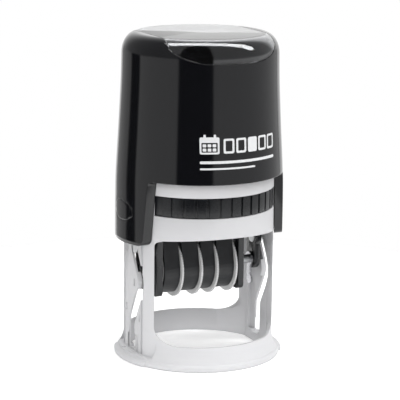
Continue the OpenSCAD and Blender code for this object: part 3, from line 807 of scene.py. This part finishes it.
# %% [markdown]
# ## Geometry Nodes for what repeats
# The grips of the cassette and the teeth of the thumb wheels follow a rule: the same shape, turned by a
# fixed step about an axis. One small node tree with named inputs makes each ring of copies.

# %% A helper that builds a ring of copies
def ring_tree(name, material):
    """A node tree that copies an object's mesh around an arc about an axis."""
    tree = bpy.data.node_groups.new(name, "GeometryNodeTree")
    tree.interface.new_socket("Geometry", in_out="INPUT", socket_type="NodeSocketGeometry")
    ids = {}
    for label, kind in (("Copy", "Object"), ("Count", "Int"), ("Start", "Float"), ("Step", "Float"),
                        ("Centre", "Vector"), ("Axis", "Vector")):
        made = tree.interface.new_socket(label, in_out="INPUT", socket_type="NodeSocket" + kind)
        ids[label] = made.identifier
    tree.interface.new_socket("Geometry", in_out="OUTPUT", socket_type="NodeSocketGeometry")
    nodes, link = tree.nodes, tree.links.new
    entry, leave = nodes.new("NodeGroupInput"), nodes.new("NodeGroupOutput")
    points = nodes.new("GeometryNodePoints")
    link(entry.outputs["Count"], points.inputs["Count"])
    link(entry.outputs["Centre"], points.inputs["Position"])
    index = nodes.new("GeometryNodeInputIndex")
    angle = nodes.new("ShaderNodeMath")
    angle.operation = "MULTIPLY_ADD"
    link(index.outputs[0], angle.inputs[0])
    link(entry.outputs["Step"], angle.inputs[1])
    link(entry.outputs["Start"], angle.inputs[2])
    turn = nodes.new("FunctionNodeAxisAngleToRotation")
    link(entry.outputs["Axis"], turn.inputs["Axis"])
    link(angle.outputs[0], turn.inputs["Angle"])
    source = nodes.new("GeometryNodeObjectInfo")
    link(entry.outputs["Copy"], source.inputs["Object"])
    place = nodes.new("GeometryNodeInstanceOnPoints")
    link(points.outputs[0], place.inputs["Points"])
    link(source.outputs["Geometry"], place.inputs["Instance"])
    link(turn.outputs[0], place.inputs["Rotation"])
    real = nodes.new("GeometryNodeRealizeInstances")
    link(place.outputs[0], real.inputs[0])
    paint = nodes.new("GeometryNodeSetMaterial")
    paint.inputs["Material"].default_value = material
    link(real.outputs[0], paint.inputs["Geometry"])
    link(paint.outputs[0], leave.inputs[0])
    return tree, ids


def ring_of(name, copy, material, **inputs):
    """Runs the ring tree on an empty mesh and keeps the result as a plain mesh."""
    piece = bpy.data.objects.new(name, bpy.data.meshes.new(name))
    bpy.context.scene.collection.objects.link(piece)
    tree, ids = ring_tree(name + "_nodes", material)
    step = piece.modifiers.new("ring", "NODES")
    step.node_group = tree
    for label, value in dict(Copy=copy, **inputs).items():
        step[ids[label]] = value
    applied(piece)
    bpy.data.objects.remove(copy)
    piece.data.polygons.foreach_set("use_smooth", [True] * len(piece.data.polygons))
    piece.data.set_sharp_from_angle(angle=math.radians(40))
    return piece


# %% Ink cassette with its grips
cassette_r = cassette_hi.y
plate_r = box_mm("text_die")[1].x + 0.1
pad_z = box_mm("ink_pad")[0].z
cassette = lathe("ink_cassette_body", [
    (0, pad_z + 1.4), (plate_r - 0.7, pad_z + 1.4), (plate_r - 0.7, pad_z), (plate_r + 0.9, pad_z),
    (plate_r + 0.9, cassette_z), (cassette_r - 0.5, cassette_z), (cassette_r - 0.5, cassette_top),
    (0, cassette_top)], 192)
cassette_half = window_x - 0.15
carve(cassette, block("cassette_keep", (-cassette_half, -FAR, 0), (cassette_half, FAR, 200)), how="INTERSECT")
finish_edges(cassette, 0.2, 2, 38, 42)
coat_with(SATIN, cassette)
placed(cassette, "frame", "satin_black", "ink_cassette")

GRIP_COUNT, GRIP_STEP = 12, math.radians(9)
for label, start in (("front", 0.0), ("rear", math.pi)):
    half = math.degrees(GRIP_STEP) / 2 - 0.9
    strip = lathe("grip", [(cassette_r - 0.9, cassette_z + 0.15), (cassette_r, cassette_z + 0.15),
                           (cassette_r, cassette_top - 0.15), (cassette_r - 0.9, cassette_top - 0.15)], 720)
    wedge = [(0, 0)] + arc(0, 0, 40, 270 - half, 270 + half, 2)
    carve(strip, plate("wedge", wedge, 0, 100, "z"), how="INTERSECT")
    finish_edges(strip, 0.3, 3, 40, 45)
    grips = ring_of(f"cassette_grips_{label}", strip, SATIN, Count=GRIP_COUNT, Step=GRIP_STEP,
                    Start=start - (GRIP_COUNT - 1) / 2 * GRIP_STEP, Centre=(0, 0, 0), Axis=(0, 0, 1))
    placed(grips, "frame", "satin_black")
coat_with(FELT, "ink_pad")

# %% Thumb wheels with their teeth
TEETH = 72
for i in range(1, 5):
    lo, hi = box_mm(f"thumb_wheel_{i}")
    disc_r, thick, drum_r = (hi.z - lo.z) / 2, 0.7, 7.6
    rim = disc_r - 0.14
    side_line = [(1.56, lo.x), (drum_r, lo.x), (drum_r, hi.x - thick), (rim - 0.2, hi.x - thick)]
    side_line += arc(rim - 0.2, hi.x - thick + 0.2, 0.2, 270, 360, 3)
    side_line += arc(rim - 0.2, hi.x - 0.2, 0.2, 0, 90, 3)
    side_line += [(drum_r + 0.8, hi.x), (drum_r + 0.5, hi.x - 0.2), (3.4, hi.x - 0.2), (3.1, hi.x),
                  (1.56, hi.x)]
    wheel = lathe(f"thumb_wheel_{i}_disc", side_line, 120)
    turn = Matrix.Translation((0, 0, wheel_z * MM)) @ Matrix.Rotation(math.pi / 2, 4, "Y")
    wheel.data.transform(turn)
    finish_edges(wheel, 0, shade=40)
    coat_with(NYLON, wheel)
    placed(wheel, f"wheel_{i}", "wheel_grey", f"thumb_wheel_{i}")
    tooth_line = [(-0.36, rim - 0.3), (0.36, rim - 0.3), (0.24, disc_r - 0.06), (0.12, disc_r),
                  (-0.12, disc_r), (-0.24, disc_r - 0.06)]
    tooth = plate("tooth", tooth_line, hi.x - thick + 0.02, hi.x - 0.02, "x")
    finish_edges(tooth, 0.06, 2, 30, 40)
    ring = ring_of(f"thumb_wheel_{i}_teeth", tooth, NYLON, Count=TEETH, Step=FULL_TURN / TEETH, Start=0.0,
                   Centre=(0, 0, wheel_z * MM), Axis=(1, 0, 0))
    placed(ring, f"wheel_{i}", "wheel_grey")

# %% [markdown]
# ## Parts that the CAD already shapes well
# Flat and turned parts inside the stamp are right as they are, so they keep their CAD mesh and only get
# a finish. The ones that show in the frame's windows get a softened copy.

# %% Carrier, bridge, bush and metal parts
for node, body, slot, finish in (
        ("die_carrier", "carrier", "satin_black", SATIN), ("band_bridge", "carrier", "satin_black", SATIN),
        ("spacer_bush", "carrier", "satin_black", SATIN), ("drive_yoke", "handle", "steel", STEEL)):
    part = refined(node, node + "_soft", 0.15)
    coat_with(finish, part)
    placed(part, body, slot, node)
coat_with(STEEL, "axle_stubs", "cam_pins", "band_axle", "yoke_screws")
coat_with(SPRING, "axle_clip", "return_spring")
coat_with(BACKING, "text_plate")
coat_with(DIE, "text_die")
coat_with(BAND, "date_band_1", "date_band_2", "date_band_3", "date_band_4")

# %% [markdown]
# ## Studio
# A small pale floor in a white surround, a long strip light above and a soft fill in front. Gloss black
# is seen only by what it reflects, so the surround has dark gaps for reflections, as black cards make in a
# real studio. They are fixed in the room, so they stay put when the view changes.

# %% Floor, lights and surround
FLOOR_R = 0.17


def floor():
    mesh = bpy.data.meshes.new("floor")
    ring = [(x, y, 0) for x, y in arc(0, 0, FLOOR_R, 0, 360, 96)[:-1]]
    mesh.from_pydata(ring, [], [tuple(range(len(ring)))])
    ground = bpy.data.objects.new("floor", mesh)
    bpy.context.scene.collection.objects.link(ground)
    paint = Paint("studio_floor")
    soft = paint.noise(3, 2, 0.4)
    coat_with(paint.set(Base_Color=paint.mixed(soft, (0.90, 0.90, 0.90, 1), (0.92, 0.92, 0.92, 1)),
                        Roughness=0.9, Emission_Color=(1, 1, 1, 1), Emission_Strength=0.35), ground)


def softbox(name, azimuth, elevation, distance, width, tall, power, mirrored=False, shift=0.0):
    """A rectangular light aimed at the stamp, then shifted sideways. Azimuth 0 is in front, in degrees."""
    light = bpy.data.lights.new(name, "AREA")
    light.shape, light.size, light.size_y, light.energy = "RECTANGLE", width, tall, power
    lamp = bpy.data.objects.new(name, light)
    bpy.context.scene.collection.objects.link(lamp)
    a, e = math.radians(azimuth), math.radians(elevation)
    middle = Vector((0, 0, 0.055))
    towards = Vector((math.sin(a) * math.cos(e), -math.cos(a) * math.cos(e), math.sin(e)))
    lamp.location = middle + distance * towards
    lamp.rotation_euler = (middle - lamp.location).to_track_quat("-Z", "Y").to_euler()
    lamp.location += shift * Vector((math.cos(a), math.sin(a), 0))
    lamp.visible_glossy = lamp.visible_transmission = mirrored
    return lamp


AMBIENT = 0.37  # what the surround adds to matt surfaces


def surround():
    world = bpy.data.worlds.new("surround")
    bpy.context.scene.world = world
    world.use_nodes = True
    room = Nodes(world.node_tree)
    direction = room.node("ShaderNodeTexCoord", output="Generated")
    x, y, z = (room.node("ShaderNodeSeparateXYZ", {}, {0: direction}, output=k) for k in range(3))
    # azimuth in degrees, 0 at the front and growing towards +X
    azimuth = room.node("ShaderNodeMath", {"operation": "ARCTAN2"}, {0: x, 1: y * -1.0}) * (180 / math.pi)

    def lit(low, high, edge=2):
        return room.ramp(azimuth, low - edge, low + edge) * (1 - room.ramp(azimuth, high - edge, high + edge))

    sides = 0.74 * (lit(-122, -56) + lit(-6, 119))
    behind = room.ramp(azimuth, 119, 123) + 0.45 * (1 - room.ramp(azimuth, -146, -140))
    glow = (sides + behind) * (1 - 0.62 * room.ramp(z, 0.0, 0.12))
    # above the horizon behind the stamp: one soft gradient, which the flat top mirrors
    above = room.ramp(z, 0.0, 0.05) * room.ramp(y, 0.15, 0.45)
    sweep = 0.3 + 0.85 * room.ramp(x, -0.45, 0.4)
    glow = glow + above * (sweep - glow)
    seen = room.node("ShaderNodeLightPath", output="Is Camera Ray")
    diffuse = room.node("ShaderNodeLightPath", output="Is Diffuse Ray")
    strength = seen + AMBIENT * diffuse + (1 - seen - diffuse) * (0.03 + 0.97 * glow)
    back = room.node("ShaderNodeBackground", {}, {"Color": (1, 1, 1, 1), "Strength": strength})
    output = room.tree.nodes.new("ShaderNodeOutputWorld")
    room.tree.links.new(back.socket, output.inputs["Surface"])


floor()
surround()
softbox("strip_above", -25, 88, 0.8, 1.9, 0.28, 11, mirrored=True, shift=0.53)
softbox("fill_front", -20, 30, 0.9, 0.7, 0.5, 3.2)
print("studio: floor, surround and", len(bpy.data.lights), "lights")

# %% Camera
CAMERA_AZIMUTH, CAMERA_HEIGHT, CAMERA_DISTANCE, CAMERA_ROLL = -25, 0.187, 0.626, 0.6
PICTURE = 400  # width of the picture in points
SCALE = 2.9  # points to a millimetre at the middle of the stamp
target = Vector((0, 0, 0.056))
a = math.radians(CAMERA_AZIMUTH)
camera_data = bpy.data.cameras.new("camera")
camera = bpy.data.objects.new("camera", camera_data)
bpy.context.scene.collection.objects.link(camera)
camera.location = (CAMERA_DISTANCE * math.sin(a), -CAMERA_DISTANCE * math.cos(a), CAMERA_HEIGHT)
aim = target - camera.location
level = aim.to_track_quat("-Z", "Y").to_matrix()
camera.rotation_euler = (level @ Matrix.Rotation(math.radians(CAMERA_ROLL), 3, "Z")).to_euler()
camera_data.sensor_width = 36
camera_data.lens = SCALE * (aim.length / MM) / PICTURE * camera_data.sensor_width
camera_data.shift_x = 1 / PICTURE
camera_data.shift_y = -7 / PICTURE
camera_data.clip_start = 0.01
bpy.context.scene.camera = camera
bpy.context.scene.view_settings.view_transform = "Standard"
print(f"lens {camera_data.lens:.1f} mm")
